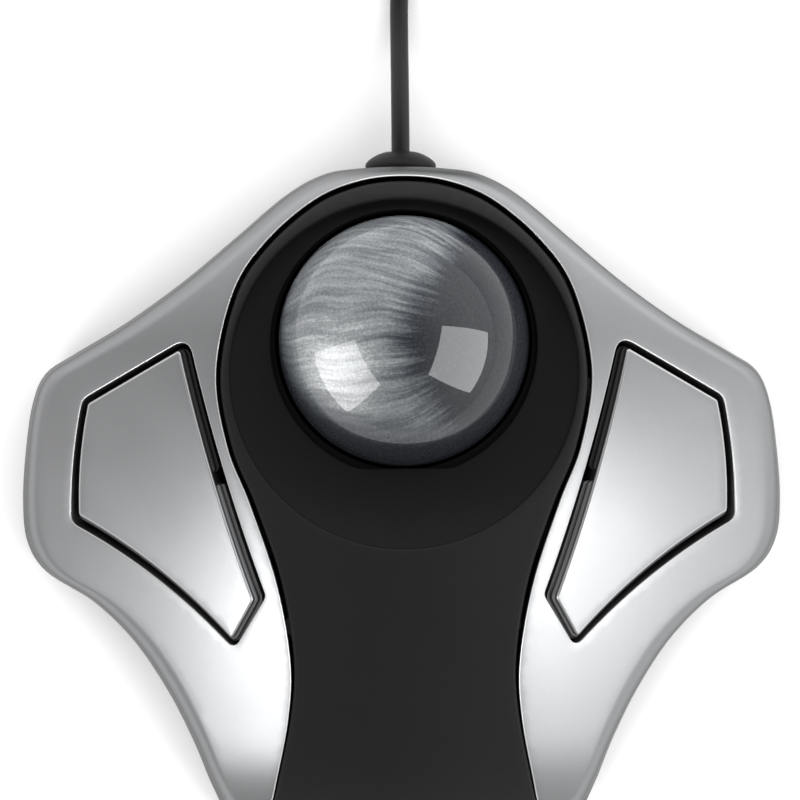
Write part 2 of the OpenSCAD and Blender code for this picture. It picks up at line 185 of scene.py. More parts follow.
edge_far = radius_by_angle(outline(BODY, 0.5))
opening_far = radius_by_angle(grown(outline(COVER, 0.5), 0.5))


def surface(x, y):
    """Height of the outer surface with its roll-off at the silhouette."""
    t = edge_far(x, y) - math.hypot(x, y)
    c = min(1, max(0, 1 - (t - 1) / ROLL))
    return z_top(x, y) - ROLL * (1 - math.sqrt(1 - c * c))


def within(points, loop):
    """Whether each point is inside the loop."""
    x, y = points[:, 0], points[:, 1]
    hit = np.zeros(len(points), bool)
    for (x0, y0), (x1, y1) in zip(loop, np.roll(loop, -1, axis=0)):
        cross = (y0 > y) != (y1 > y)
        hit ^= cross & (x < (x1 - x0) * (y - y0) / (y1 - y0 + 1e-12) + x0)
    return hit


# ------------------------------------------------------------------ meshes
class Mesh:
    """Gathers points and faces of one piece."""

    def __init__(self):
        self.points, self.faces, self.slots = [], [], []

    def ring(self, points):
        start = len(self.points)
        self.points += [tuple(p) for p in points]
        return list(range(start, len(self.points)))

    def strip(self, a, b, slot=0):
        """Faces between two closed rings of as many points."""
        n = len(a)
        for i in range(n):
            j = (i + 1) % n
            self.faces.append((a[i], a[j], b[j], b[i]))
            self.slots.append(slot(i) if callable(slot) else slot)

    def strips(self, rings, slot=0):
        for a, b in zip(rings, rings[1:]):
            self.strip(a, b, slot)

    def cap(self, ring, slot=0):
        """Closes a small ring with a point in its middle."""
        middle = self.ring([np.mean([self.points[i] for i in ring], axis=0)])[0]
        for i, a in enumerate(ring):
            self.faces.append((a, ring[(i + 1) % len(ring)], middle))
            self.slots.append(slot)

    def sheet(self, outer, holes, height, spacing, below=None):
        """A sheet of triangles inside ring outer and outside rings holes, given as rings of this mesh. below is
        the same sheet's rings for an underside, (outer, holes, height)."""
        rings = [outer] + holes
        flat = [np.array([self.points[i][:2] for i in r]) for r in rings]
        low, high = flat[0].min(0), flat[0].max(0)
        rows = []
        for k, y in enumerate(np.arange(low[1], high[1], spacing * 0.866)):
            x = np.arange(low[0] + (k % 2) * spacing / 2, high[0], spacing)
            rows.append(np.stack([x, np.full(len(x), y)], axis=1))
        grid = np.vstack(rows)
        keep = within(grid, flat[0])
        for f in flat[1:]:
            keep &= ~within(grid, f)
        grid = grid[keep]
        edge = np.vstack(flat)
        near = np.array([np.min(np.hypot(*(edge - g).T)) for g in grid])
        grid = grid[near > 0.6 * spacing]
        every, links, start = np.vstack([edge, grid]), [], 0
        for f in flat:
            links += [(start + i, start + (i + 1) % len(f)) for i in range(len(f))]
            start += len(f)
        found = geometry.delaunay_2d_cdt([Vector(p) for p in every], links, [], 0, 1e-7)
        back = [o[0] for o in found[3]]
        ids = [i for r in rings for i in r]
        inner = self.ring([(p[0], p[1], height(p[0], p[1])) for p in grid])
        top = ids + inner
        triangles = [[back[i] for i in f] for f in found[2]]
        middle = np.array([every[t].mean(0) for t in triangles])
        keep = within(middle, flat[0])
        for f in flat[1:]:
            keep &= ~within(middle, f)
        sets = [top]
        if below:
            sets.append([i for r in [below[0]] + below[1] for i in r]
                        + self.ring([(p[0], p[1], below[2](p[0], p[1])) for p in grid]))
        for ids in sets:
            for t, k in zip(triangles, keep):
                if k:
                    self.faces.append(tuple(ids[i] for i in t))
                    self.slots.append(0)

    def rod(self, a, b, r, slot=0):
        """A closed cylinder from a to b."""
        a, b = Vector(a), Vector(b)
        turn = (b - a).to_track_quat("Z", "Y")
        rings = [self.ring([p + turn @ Vector((r * math.cos(t), r * math.sin(t), 0))
                            for t in full_turn(24)]) for p in (a, b)]
        self.strip(*rings, slot)
        for ring in rings:
            self.cap(ring, slot)

    def object(self, name, materials, smooth=40):
        data = bpy.data.meshes.new(name)
        data.from_pydata([tuple(c * MM for c in p) for p in self.points], [], self.faces)
        for m in materials:
            data.materials.append(m)
        data.polygons.foreach_set("material_index", self.slots)
        obj = bpy.data.objects.new(name, data)
        bpy.context.scene.collection.objects.link(obj)
        tidy(obj, smooth)
        return obj


def tidy(obj, smooth):
    """Faces outward, smooth, with sharp edges where they turn by more than the angle."""
    bpy.ops.object.select_all(action="DESELECT")
    bpy.context.view_layer.objects.active = obj
    obj.select_set(True)
    bpy.ops.object.mode_set(mode="EDIT")
    bpy.ops.mesh.select_all(action="SELECT")
    bpy.ops.mesh.normals_make_consistent(inside=False)
    bpy.ops.object.mode_set(mode="OBJECT")
    bpy.ops.object.shade_smooth_by_angle(angle=math.radians(smooth))


def quarter(steps):
    """Angles of a quarter round, from the flat to the wall."""
    return np.linspace(0, math.pi / 2, steps)


def full_turn(n):
    """n angles evenly round a circle."""
    return np.linspace(0, 2 * math.pi, n, endpoint=False)


def lathe(mesh, profile, place, axis="Z", n=64):
    """A closed solid turned about an axis through place; profile is (radius, along) from end to end."""
    rings = []
    for r, h in profile:
        ring = []
        for t in full_turn(n):
            c, s = r * math.cos(t), r * math.sin(t)
            ring.append((place[0] + c, place[1] + s, place[2] + h) if axis == "Z"
                        else (place[0] + c, place[1] + h, place[2] + s))
        rings.append(mesh.ring(ring))
    closed(mesh, rings)


def closed(mesh, rings):
    """Faces through the rings, with a cap at both ends."""
    mesh.strips(rings)
    mesh.cap(rings[0])
    mesh.cap(rings[-1])


# ------------------------------------------------------------------ materials
def material(name, color, rough, metal=0.0, grain=0.0, grain_scale=3000.0, vary=0.1, vary_scale=60.0,
             coat=0.0, clear=0.0, shine=0.5):
    """A procedural surface: colour and roughness vary a little, and a fine grain raises it."""
    m = bpy.data.materials.new(name)
    m.use_nodes = True
    tree = m.node_tree
    shader = tree.nodes["Principled BSDF"]
    place = tree.nodes.new("ShaderNodeTexCoord")
    wide, fine = (tree.nodes.new("ShaderNodeTexNoise") for _ in range(2))
    wide.inputs["Scale"].default_value = vary_scale
    wide.inputs["Detail"].default_value = 3
    fine.inputs["Scale"].default_value = grain_scale
    fine.inputs["Detail"].default_value = 2
    for noise in (wide, fine):
        tree.links.new(place.outputs["Object"], noise.inputs["Vector"])
    mix = tree.nodes.new("ShaderNodeMix")
    mix.data_type = "RGBA"
    mix.inputs["A"].default_value = (*[c * (1 - vary) for c in color], 1)
    mix.inputs["B"].default_value = (*[min(1, c * (1 + vary)) for c in color], 1)
    half = tree.nodes.new("ShaderNodeMath")
    half.operation = "MULTIPLY"
    both = tree.nodes.new("ShaderNodeMath")
    both.operation = "MULTIPLY_ADD"
    for node, noise in ((half, wide), (both, fine)):
        node.inputs[1].default_value = 0.5
        tree.links.new(noise.outputs["Fac"], node.inputs[0])
    tree.links.new(half.outputs[0], both.inputs[2])
    tree.links.new(both.outputs[0], mix.inputs["Factor"])
    tree.links.new(mix.outputs["Result"], shader.inputs["Base Color"])
    spread = tree.nodes.new("ShaderNodeMapRange")
    spread.inputs["To Min"].default_value = max(0, rough - 0.05)
    spread.inputs["To Max"].default_value = min(1, rough + 0.05)
    tree.links.new(wide.outputs["Fac"], spread.inputs["Value"])
    tree.links.new(spread.outputs["Result"], shader.inputs["Roughness"])
    shader.inputs["Metallic"].default_value = metal
    shader.inputs["Coat Weight"].default_value = coat
    shader.inputs["Transmission Weight"].default_value = clear
    shader.inputs["Specular IOR Level"].default_value = shine
    if grain:
        bump = tree.nodes.new("ShaderNodeBump")
        bump.inputs["Strength"].default_value = grain
        bump.inputs["Distance"].default_value = 0.00005
        tree.links.new(fine.outputs["Fac"], bump.inputs["Height"])
        tree.links.new(bump.outputs["Normal"], shader.inputs["Normal"])
    return m


def pearl(name):
    """Pearl fibres, light on one side and navy on the other, under a clear coat. The light side carries a
    painted sheen and a painted glow of the left window, and the low front a painted shade.
    """
    m = bpy.data.materials.new(name)
    m.use_nodes = True
    tree = m.node_tree
    new, link = tree.nodes.new, tree.links.new
    shader = tree.nodes["Principled BSDF"]
    place = new("ShaderNodeTexCoord")

    def noise(vector, scale, detail, rough=0.5):
        node = new("ShaderNodeTexNoise")
        node.inputs["Scale"].default_value = scale
        node.inputs["Detail"].default_value = detail
        node.inputs["Roughness"].default_value = rough
        link(vector, node.inputs["Vector"])
        return node

    def feed(node, values):
        """Gives a node its inputs in order, each a number, a tuple or another node's output."""
        for socket, value in zip(node.inputs, values):
            if isinstance(value, (int, float, tuple)):
                socket.default_value = value
            else:
                link(value, socket)

    def number(operation, *values):
        node = new("ShaderNodeMath")
        node.operation = operation
        feed(node, values)
        return node.outputs[0]

    def vector(operation, *values):
        node = new("ShaderNodeVectorMath")
        node.operation = operation
        feed(node, values)
        return node.outputs["Value" if operation == "DISTANCE" else "Vector"]

    def plus(base, by, value):
        """base + by * value"""
        return number("MULTIPLY_ADD", value, by, base)

    def smooth(value, low, high, first=0.0, last=1.0):
        node = new("ShaderNodeMapRange")
        node.interpolation_type = "SMOOTHSTEP"
        for label, limit in (("From Min", low), ("From Max", high), ("To Min", first), ("To Max", last)):
            node.inputs[label].default_value = limit
        link(value, node.inputs["Value"])
        return node.outputs["Result"]

    def parts(value):
        """The x, y and z of a vector."""
        node = new("ShaderNodeSeparateXYZ")
        link(value, node.inputs["Vector"])
        return [node.outputs[axis] for axis in "XYZ"]

    def joined(**values):
        """A vector from some of x, y and z; the others are 0."""
        node = new("ShaderNodeCombineXYZ")
        for axis, value in values.items():
            link(value, node.inputs[axis.upper()])
        return node.outputs["Vector"]

    # object coordinates on a ball of radius 1
    unit = new("ShaderNodeMapping")
    unit.inputs["Scale"].default_value = [1 / (BALL_R * MM)] * 3
    link(place.outputs["Object"], unit.inputs["Vector"])
    ball_at = unit.outputs["Vector"]
    x, y, z = parts(ball_at)
    # the fibres run like meridians to a pole at the upper right, and bend a little
    bend = 0.32
    bent = vector("MULTIPLY_ADD", noise(ball_at, 1.1, 1).outputs["Color"], (bend, bend, bend), ball_at)
    turn = new("ShaderNodeMapping")
    turn.inputs["Location"].default_value = [-bend / 2] * 3
    turn.inputs["Rotation"].default_value = (0, math.radians(32), math.radians(-4))
    link(bent, turn.inputs["Vector"])
    along, across_y, across_z = parts(turn.outputs["Vector"])
    around = vector("NORMALIZE", joined(y=across_y, z=across_z))
    thread = vector("MULTIPLY_ADD", around, (9, 9, 9), joined(x=along))
    fibre = noise(thread, 1.6, 6, 0.62).outputs["Fac"]
    spark = noise(ball_at, 48, 2, 0.8).outputs["Fac"]
    cloud = noise(ball_at, 1.6, 2).outputs["Fac"]
    # the pattern runs light towards -x and navy towards +x, with painted sheen on the light side; low down in
    # front it is darker with painted shade
    pattern_and_painted_sheen = plus(0.02, -1.0, x)
    pattern_and_painted_sheen = plus(pattern_and_painted_sheen, 0.45, number("ABSOLUTE", y))
    pattern_and_painted_sheen = plus(pattern_and_painted_sheen, 0.5, cloud)
    pattern_and_painted_sheen = plus(pattern_and_painted_sheen, 0.5, fibre)
    # painted shade: darker low down in front, where the cover's bowl shades the ball
    low = smooth(plus(z, 0.6, y), -0.05, 0.5)
    light = number("MULTIPLY", smooth(pattern_and_painted_sheen, 0.32, 0.72), low)
    # a painted glow: the left window's highlight painted into the colour, round a point on the upper left
    painted_glow_middle = (-0.58, -0.21, 0.79)
    painted_glow = smooth(vector("DISTANCE", ball_at, painted_glow_middle), 0.0, 0.6, 0.62, 0.0)
    tone = number("MULTIPLY", light, smooth(fibre, 0.32, 0.68, 0.6, 1.0))
    tone = plus(tone, 1.0, painted_glow)
    tone = plus(tone, 0.8, spark)
    tone = plus(-0.21, 0.6, tone)
    ramp = new("ShaderNodeValToRGB")
    ramp.color_ramp.elements[0].position = 0.0
    ramp.color_ramp.elements[0].color = (0.008, 0.010, 0.014, 1)
    ramp.color_ramp.elements[1].position = 1.0
    ramp.color_ramp.elements[1].color = (0.9, 0.93, 0.95, 1)
    for at, color in ((0.12, (0.022, 0.027, 0.036, 1)), (0.42, (0.13, 0.142, 0.155, 1)),
                      (0.66, (0.3, 0.315, 0.325, 1))):
        ramp.color_ramp.elements.new(at).color = color
    link(tone, ramp.inputs["Fac"])
    link(ramp.outputs["Color"], shader.inputs["Base Color"])
    shader.inputs["Metallic"].default_value = 0.0
    shader.inputs["Specular IOR Level"].default_value = 0.1
    shader.inputs["Roughness"].default_value = 0.6
    shader.inputs["Coat Weight"].default_value = 1.0
    shader.inputs["Coat IOR"].default_value = 1.37
    shader.inputs["Coat Roughness"].default_value = 0.015
    return m


silver = material("silver", (0.255, 0.2575, 0.2615), 0.33, 0.9, grain=0.12, grain_scale=4200, vary=0.12)
# the paint darkens towards a grazing view
silver.node_tree.nodes["Principled BSDF"].inputs["Specular Tint"].default_value = (0.35, 0.35, 0.35, 1)
# edge: a much lighter copy of the silver for the rounding round the cover's opening, a painted highlight line
edge = material("edge", (0.75, 0.755, 0.765), 0.3, 0.9, grain=0.1, vary=0.03)
# a lighter copy of the silver for the buttons' roundings and the roundings round their openings: a softer
# painted highlight line
painted_soft_highlight = material("painted_soft_highlight", (0.46, 0.463, 0.47), 0.3, 0.9, grain=0.1, vary=0.03)
# darker copies of the cover's black: painted shade in the bowl round the ball, and on the cover's roundings,
# where it dims their highlight line
bowl_painted_shade = material("bowl_painted_shade", (0.0092, 0.0092, 0.0098), 0.5, grain=0.5, grain_scale=3600, shine=0.12)
black = material("cover_black", (0.0168, 0.0168, 0.0176), 0.5, grain=0.5, grain_scale=3600, shine=0.15)
rim_painted_shade = material("rim_painted_shade", (0.0135, 0.0135, 0.014), 0.45, grain=0.3, grain_scale=3600, shine=0.18)
base_black = material("base_black", (0.02, 0.02, 0.021), 0.5, grain=0.5, grain_scale=3000)
inside = material("inside", (0.02, 0.02, 0.021), 0.45, 0.3, grain=0.2)
flange = material("flange", (0.2, 0.2, 0.205), 0.35, 0.7, grain=0.2)
pearl_grey = pearl("ball")
socket = material("socket_grey", (0.004, 0.004, 0.0045), 0.45, grain=0.2, shine=0.15)
bearing = material("bearing", (0.85, 0.85, 0.82), 0.15, coat=0.5, vary=0.02)
steel = material("steel", (0.5, 0.5, 0.52), 0.3, 1.0, grain=0.2, grain_scale=5000)
board = material("board", (0.006, 0.035, 0.015), 0.35, vary=0.25, vary_scale=500, coat=0.4)
chip = material("chip", (0.02, 0.02, 0.022), 0.45, grain=0.4, grain_scale=6000)
lens = material("lens", (0.85, 0.9, 0.95), 0.05, clear=0.9, vary=0.02)
led = material("led", (0.6, 0.03, 0.02), 0.1, clear=0.5, vary=0.05)
can = material("can", (0.62, 0.62, 0.62), 0.28, 1.0, grain=0.2, grain_scale=5000)
tan = material("tan_part", (0.42, 0.32, 0.2), 0.5, vary=0.2)
white = material("white_plastic", (0.78, 0.78, 0.74), 0.4, vary=0.03)
red = material("red_plastic", (0.45, 0.03, 0.02), 0.4)
rubber = material("foot_rubber", (0.018, 0.018, 0.018), 0.75, grain=0.6, grain_scale=2500)
jacket = material("cord_jacket", (0.006, 0.006, 0.0065), 0.42, grain=0.3, grain_scale=4000, shine=0.3)
grommet_black = material("grommet_rubber", (0.005, 0.005, 0.005), 0.5, grain=0.3, shine=0.2)
band = material("tie", (0.015, 0.015, 0.016), 0.6, grain=0.8, grain_scale=2500)
plug_metal = material("plug_metal", (0.66, 0.66, 0.67), 0.24, 1.0, grain=0.15, grain_scale=5000)
gold = material("gold", (0.8, 0.58, 0.25), 0.25, 1.0)

LOOKS = {
    "hinge_pins": steel, "ball_socket": socket, "support_bearings": bearing, "socket_screws": chip,
    "main_board": board, "board_screws": steel, "sensor_board": board, "sensor_chip": chip,
    "sensor_lens": lens, "sensor_led": led, "controller_chip": chip, "crystal": can, "board_parts": tan,
    "capacitors": chip, "cable_connector": white, "switch_left": chip, "switch_right": chip,
    "plunger_left": red, "plunger_right": red, "case_screws": steel, "inner_lead": jacket,
    "usb_metal": plug_metal, "usb_tongue": white, "usb_contacts": gold,
}
# the solids that stay as the CAD made them get a material each
for node, look in LOOKS.items():
    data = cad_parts[node].data
    data.materials.clear()
    data.materials.append(look)


def piece(obj, body, node):
    """Puts a piece on its body and in the CAD node's place, hiding the CAD node."""
    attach(obj, body)
    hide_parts(node)
    return obj


# ------------------------------------------------------------------ cord, coil, tie and plug
COLUMNS, LAYERS = [22.9, 19.8, 16.7, 13.6], [2.4, 5.5, 8.6]


def turn_of(u):
    """Radius and height of the coil at u turns: out and back over four columns and three layers, with a step
    to the next place at the end of each turn."""
    places = [np.array([r, layer]) for layer, columns in zip(LAYERS, (COLUMNS, COLUMNS[::-1], COLUMNS))
              for r in columns]
    last, step = len(places) - 1, 0.16
    i = min(int(u), last)
    share = max(0.0, (u - i - (1 - step)) / step)
    share = share * share * (3 - 2 * share)
    return places[i] * (1 - share) + places[min(i + 1, last)] * share


def on_coil(u, r, z):
    """The point after u turns at radius r and height z; the coil starts on its left side, clockwise."""
    a = math.pi - 2 * math.pi * u
    return COIL_X + r * math.cos(a), COIL_Y + r * math.sin(a), z


def cord_line():
    """The cord's middle line: down to the floor, round the coil, over the bundle and into the plug."""
    start = [(0, 53, 9), (0, 58, 9), (0, 63, 8.8), (0, 68, 7.6), (0, 73, 5.6), (0, 78, 3.4), (0, 83, 2),
             (0, 88, 1.6), (-1, 94, 1.6), (-3.6, 100, 1.6), (-7, 106, 1.7), (-9.8, 112, 2.1)]
    coil = []
    for u in np.arange(0, len(COLUMNS) * len(LAYERS) + 0.001, 1 / 40):
        r, z = turn_of(u)
        coil.append(on_coil(u, r + 0.12 * math.sin(5.3 * u + 1) * math.sin(1.7 * u), z))
    over, leave = [], 0.235
    for u in (0.06, 0.12, 0.18, leave):
        s = u / leave
        over.append(on_coil(u, COLUMNS[-1] + 10.2 * s * s,
                            LAYERS[-1] + 2.9 * math.sin(math.pi * min(1, s * 1.1) / 2)))
    end = [(16, 142.4, 10.4), (20.5, 142.6, 7.8), (25, 142.5, 5.6), (29, 142.5, 5), (34, 142.5, 5)]
    away = smooth_line([coil[-1]] + over + end, 6)
    return smooth_line(start, 5)[:-1].tolist() + coil + away[1:].tolist()


def tube(name, line, radius, mat):
    """A round tube along a line of points, with closed ends."""
    curve = bpy.data.curves.new(name, "CURVE")
    curve.dimensions = "3D"
    s = curve.splines.new("POLY")
    s.points.add(len(line) - 1)
    for point, p in zip(s.points, line):
        point.co = (*[c * MM for c in p], 1)
    curve.bevel_depth = radius * MM
    curve.bevel_resolution = 4
    curve.use_fill_caps = True
    curve.materials.append(mat)
    obj = bpy.data.objects.new(name, curve)
    bpy.context.scene.collection.objects.link(obj)
    return obj


line = cord_line()
cord = piece(tube("cord", line, CORD_R, jacket), "body", "cord_tube")
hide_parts("cord_tube", "cord_coil")


def strap():
    """A flat band round the coil's bundle at its right side."""
    mesh = Mesh()
    left, right, bottom, top, half_wide = 23.3, 37.3, 0.1, 11.1, 1.7
    path = rounded([(left, bottom, 2.4, 0), (left, top, 3.2, 0), (right, top, 3.2, 0), (right, bottom, 2.4, 0)],
                   0.6)
    inner = grown(path, -0.75)
    rings = [mesh.ring([(p[0], COIL_Y + w, p[1]) for p in loop])
             for loop, w in ((path, -half_wide), (path, half_wide), (inner, half_wide), (inner, -half_wide))]
    mesh.strips(rings + rings[:1])
    return mesh.object("cord_tie", [band])


def overmould():
    """The plug's moulded body: a rounded bar and a ribbed strain relief."""
    mesh = Mesh()
    rings = []
    for x, s in ((37, 0.72), (37.25, 0.86), (37.8, 0.95), (38.6, 1), (57.6, 1), (58.4, 0.985), (58.85, 0.95),
                 (59, 0.9)):
        wide, high, r = 7.4 * s, 4.1 * s, 2.4 * s
        corners = [(-wide, -high, r, 0), (-wide, high, r, 0), (wide, high, r, 0), (wide, -high, r, 0)]
        loop = rounded(corners, 0.7)
        at = np.linspace(0, len(loop), 64, endpoint=False)
        loop = np.vstack([loop, loop[:1]])
        loop = np.stack([np.interp(at, range(len(loop)), loop[:, i]) for i in (0, 1)], 1)
        rings.append(mesh.ring([(x, PLUG_Y + p[0], PLUG_Z + p[1]) for p in loop]))
    closed(mesh, rings)
    profile = [(1.6, 30), (2.1, 30.1)]
    for k in range(4):
        a = 30.3 + 1.7 * k
        profile += [(2.5, a), (2.5, a + 0.9), (2.0, a + 1.05), (2.0, a + 1.5)]
    profile += [(2.6, 37.2), (2.6, 38.5)]
    closed(mesh, [mesh.ring([(h, PLUG_Y + r * math.cos(t), PLUG_Z + r * math.sin(t)) for t in full_turn(32)])
                  for r, h in profile])
    return mesh.object("usb_overmould", [jacket])


def grommet():
    """The rubber collar where the cord leaves the body."""
    mesh = Mesh()
    profile = [(4.0, -3.5), (4.0, -1.0), (5.5, -0.9), (5.75, -0.6), (5.8, 0.0), (5.7, 0.4), (5.3, 0.85),
               (4.7, 1.3), (3.9, 1.75), (3.0, 2.1), (2.4, 2.25), (2.0, 2.3), (1.75, 2.2), (1.55, 1.8)]
    lathe(mesh, profile, GROMMET, "Y")
    return mesh.object("grommet", [grommet_black], 50)


tie = piece(strap(), "body", "cord_tie")
plug = piece(overmould(), "body", "usb_overmould")
collar = piece(grommet(), "body", "grommet")

# ------------------------------------------------------------------ shells
# corners of the left button's opening and of the button: x, y, rounding, bow of the edge after it
HOLE = [(-51.8, 19.0, 2.4, 0), (-34.35, 28.95, 2.2, 0.7), (-22.3, -12.6, 1.6, 0), (-27.5, -21.3, 1.5, 1.5),
        (-53.95, -0.95, 2.4, -0.55)]
BUTTON = [(-50.9, 18.4, 0.4, 0), (-35.8, 27.0, 0.5, 0.7), (-24.3, -13.1, 0.5, 0), (-27.9, -19.6, 0.5, 1.4),
          (-52.7, 0.25, 0.6, -0.55)]


def mirrored(loop):
    """The left loop's twin on the right, or the other way round."""
    return (loop * (-1, 1))[::-1]


def leaned(loop, depth, side):
    """Points of a left or right loop, that far down the leaning wall from the top surface."""
    return [(x - side * math.sin(LEAN) * depth, y, surface(x, y) - math.cos(LEAN) * depth) for x, y in loop]


def upright(loop, depth=0):
    """Points of a loop, that far straight down from the top surface."""
    return [(x, y, surface(x, y) - depth) for x, y in loop]


def underside(x, y):
    """Height of the shell's inner side."""
    return surface(x, y) - WALL


def edge_rings(mesh, loop, out, r, depth, place, skirt=0, slots=(0, 0)):
    """Rings round an edge: from the flat top, over a rounding of radius r, down the wall, and back up
    underneath. out is +1 for a hole's edge and -1 for an outer edge; place puts a loop at a depth; skirt widens
    the wall's foot; slots are the materials of the rounding and of the rest. Returns the top ring and the
    underside's ring."""
    rings = [mesh.ring(upright(grown(loop, out * r)))]
    for a in quarter(6)[1:]:
        moved = grown(loop, out * r * (1 - math.sin(a)))
        rings.append(mesh.ring(place(moved, r * (1 - math.cos(a)))))
    mesh.strips(rings, slots[0])
    walls = [rings[-1]]
    for share in (0.4, 0.55, 0.62, 1):
        foot = grown(loop, -out * skirt * min(1, max(0, (share - 0.4) / 0.22)))
        walls.append(mesh.ring(place(foot, r + (depth - r) * share)))
    walls.append(mesh.ring(place(grown(loop, out * r), depth)))
    bottom = mesh.ring(upright(grown(loop, out * r), WALL))
    mesh.strips(walls + [bottom], slots[1])
    return rings[0], bottom


def top_shell():
    """The silver shell: side wall, roll-off, top with its three openings, underside and screw posts."""
    mesh = Mesh()
    body, foot = outline(BODY, 1.1), PART + 0.35
    rings = [mesh.ring([(*p, PART) for p in inset(body, 0.3)]), mesh.ring([(*p, foot) for p in body])]
    wall_top = [z_top(*p) - ROLL for p in inset(body, 1)]
    for s in (0.35, 0.7):
        rings.append(mesh.ring([(*p, foot + (z - foot) * s) for p, z in zip(inset(body, s), wall_top)]))
    # the roll-off stops early where the cover's opening comes close
    room = edge_far(*body.T) - opening_far(*body.T) - 0.35
    end = np.arccos(np.clip(1 - (room - 1) / ROLL, 0, 1))
    for s in np.linspace(0, 1, 11):
        flat = inset(body, 1 + ROLL * (1 - np.cos(end * s)))
        rings.append(mesh.ring([(*p, z_top(*p) - ROLL * (1 - math.sin(a * s))) for p, a in zip(flat, end)]))
    mesh.strips(rings)
    under = mesh.ring(upright(flat, WALL))
    low = mesh.ring([(*p, PART) for p in inset(body, WALL)])
    mesh.strips([rings[0], low, under])
    # the cover opening's rounding takes slot 1, the lighter edge copy of the silver: a painted highlight line
    holes = [edge_rings(mesh, outline(COVER, 0.8), 1, 0.22, 4.4, upright, slots=(1, 0))]
    # the button openings' roundings take slot 2, a lighter copy of the silver that paints a softer highlight
    # line
    left = rounded(HOLE)
    for loop, side in ((left, -1), (mirrored(left), 1)):
        holes.append(edge_rings(mesh, loop, 1, 0.2, 3.8, lambda q, d, side=side: leaned(q, d, side),
                                slots=(2, 0)))
    mesh.sheet(rings[-1], [h[0] for h in holes], surface, 1.1,
               below=(under, [h[1] for h in holes], underside))
    for x, y in SHELL_POSTS:
        for s in (-1, 1):
            mesh.rod((s * x, y, PART), (s * x, y, underside(x, y) - 0.9), 2.7)
    return mesh.object("top_shell", [silver, edge, painted_soft_highlight])


def centre_cover():
    """The black cover: top with its rounded edge, bowl round the ball, underside and screw posts. The bowl and
    the roundings take darker copies of the black: painted shade.
    """
    mesh = Mesh()
    # the cover's rounded edge takes slot 2, a darker copy of the black: painted shade
    top, under = edge_rings(mesh, inset(outline(COVER, 0.8), 0.8), -1, 0.6, 3.4, upright, skirt=-0.8,
                            slots=(2, 0))
    # the bowl and the opening lie along rays from the ball's middle
    rays = np.stack([np.cos(full_turn(240)), np.sin(full_turn(240))], axis=1)

    def circle(r, dy):
        """How far along each ray a circle of radius r lies, with its middle dy towards the palm."""
        down = -dy * rays[:, 1]
        return down + np.sqrt(down * down - dy * dy + r * r)

    def at(far):
        return np.array([0, BALL[1]]) + rays * far[:, None]

    def rim(r):
        return at(circle(r, BALL[1] - BOWL_Y))

    straight = np.where(rays[:, 1] < 0, OPEN_FLAT / np.maximum(-rays[:, 1], 1e-3), 99)
    blend = 8
    near = -np.log(np.exp(-blend * straight) + np.exp(-blend * circle(OPEN_R, OPEN_DROP))) / blend
    edge_r, lip_r = 0.45, 0.25
    top_rim = rim(BOWL_R + edge_r)
    rings = [mesh.ring(upright(top_rim))]
    for a in quarter(5)[1:]:
        rings.append(mesh.ring([(*p, surface(*q) - edge_r * (1 - math.cos(a)))
                                for p, q in zip(rim(BOWL_R + edge_r * (1 - math.sin(a))), top_rim)]))
    outer = [mesh.points[i] for i in rings[-1]]
    for s in np.linspace(0, 1, 17)[1:]:
        fall = (1 - s) ** 2.4
        rings.append(mesh.ring([(ax * (1 - s) + bx * s, ay * (1 - s) + by * s,
                                 OPEN_Z + (az - 0.2 * s - OPEN_Z) * fall)
                                for (ax, ay, az), (bx, by) in zip(outer, at(near + lip_r))]))
    for a in quarter(5)[1:]:
        rings.append(mesh.ring([(*p, OPEN_Z - lip_r * (1 - math.cos(a)))
                                for p in at(near + lip_r * (1 - math.sin(a)))]))
    rings.append(mesh.ring([(*p, BOWL_FOOT) for p in at(near)]))
    low = mesh.ring([(*p, BOWL_FOOT) for p in top_rim])
    rim_under = mesh.ring(upright(top_rim, WALL))
    # the bowl's rim rounding takes the darker copy and the bowl the darkest one: painted shade on the rim and
    # in the hollow round the ball
    mesh.strips(rings[:5], 2)
    mesh.strips(rings[4:] + [low, rim_under], 1)
    mesh.sheet(top, [rings[0]], surface, 1.2, below=(under, [rim_under], underside))
    for x, y in COVER_POSTS:
        for s in (-1, 1):
            mesh.rod((s * x, y, 10), (s * x, y, underside(x, y) - 0.4), 3)
    return mesh.object("centre_cover", [black, bowl_painted_shade, rim_painted_shade], 50)


def hinge(side):
    """The middle of a button's hinge pin and the pin's direction."""
    return Vector((side * HINGE[0], HINGE[1], surface(*HINGE) - 5.5)), Vector((-side * 0.8713, 0.3171, 0.3746))


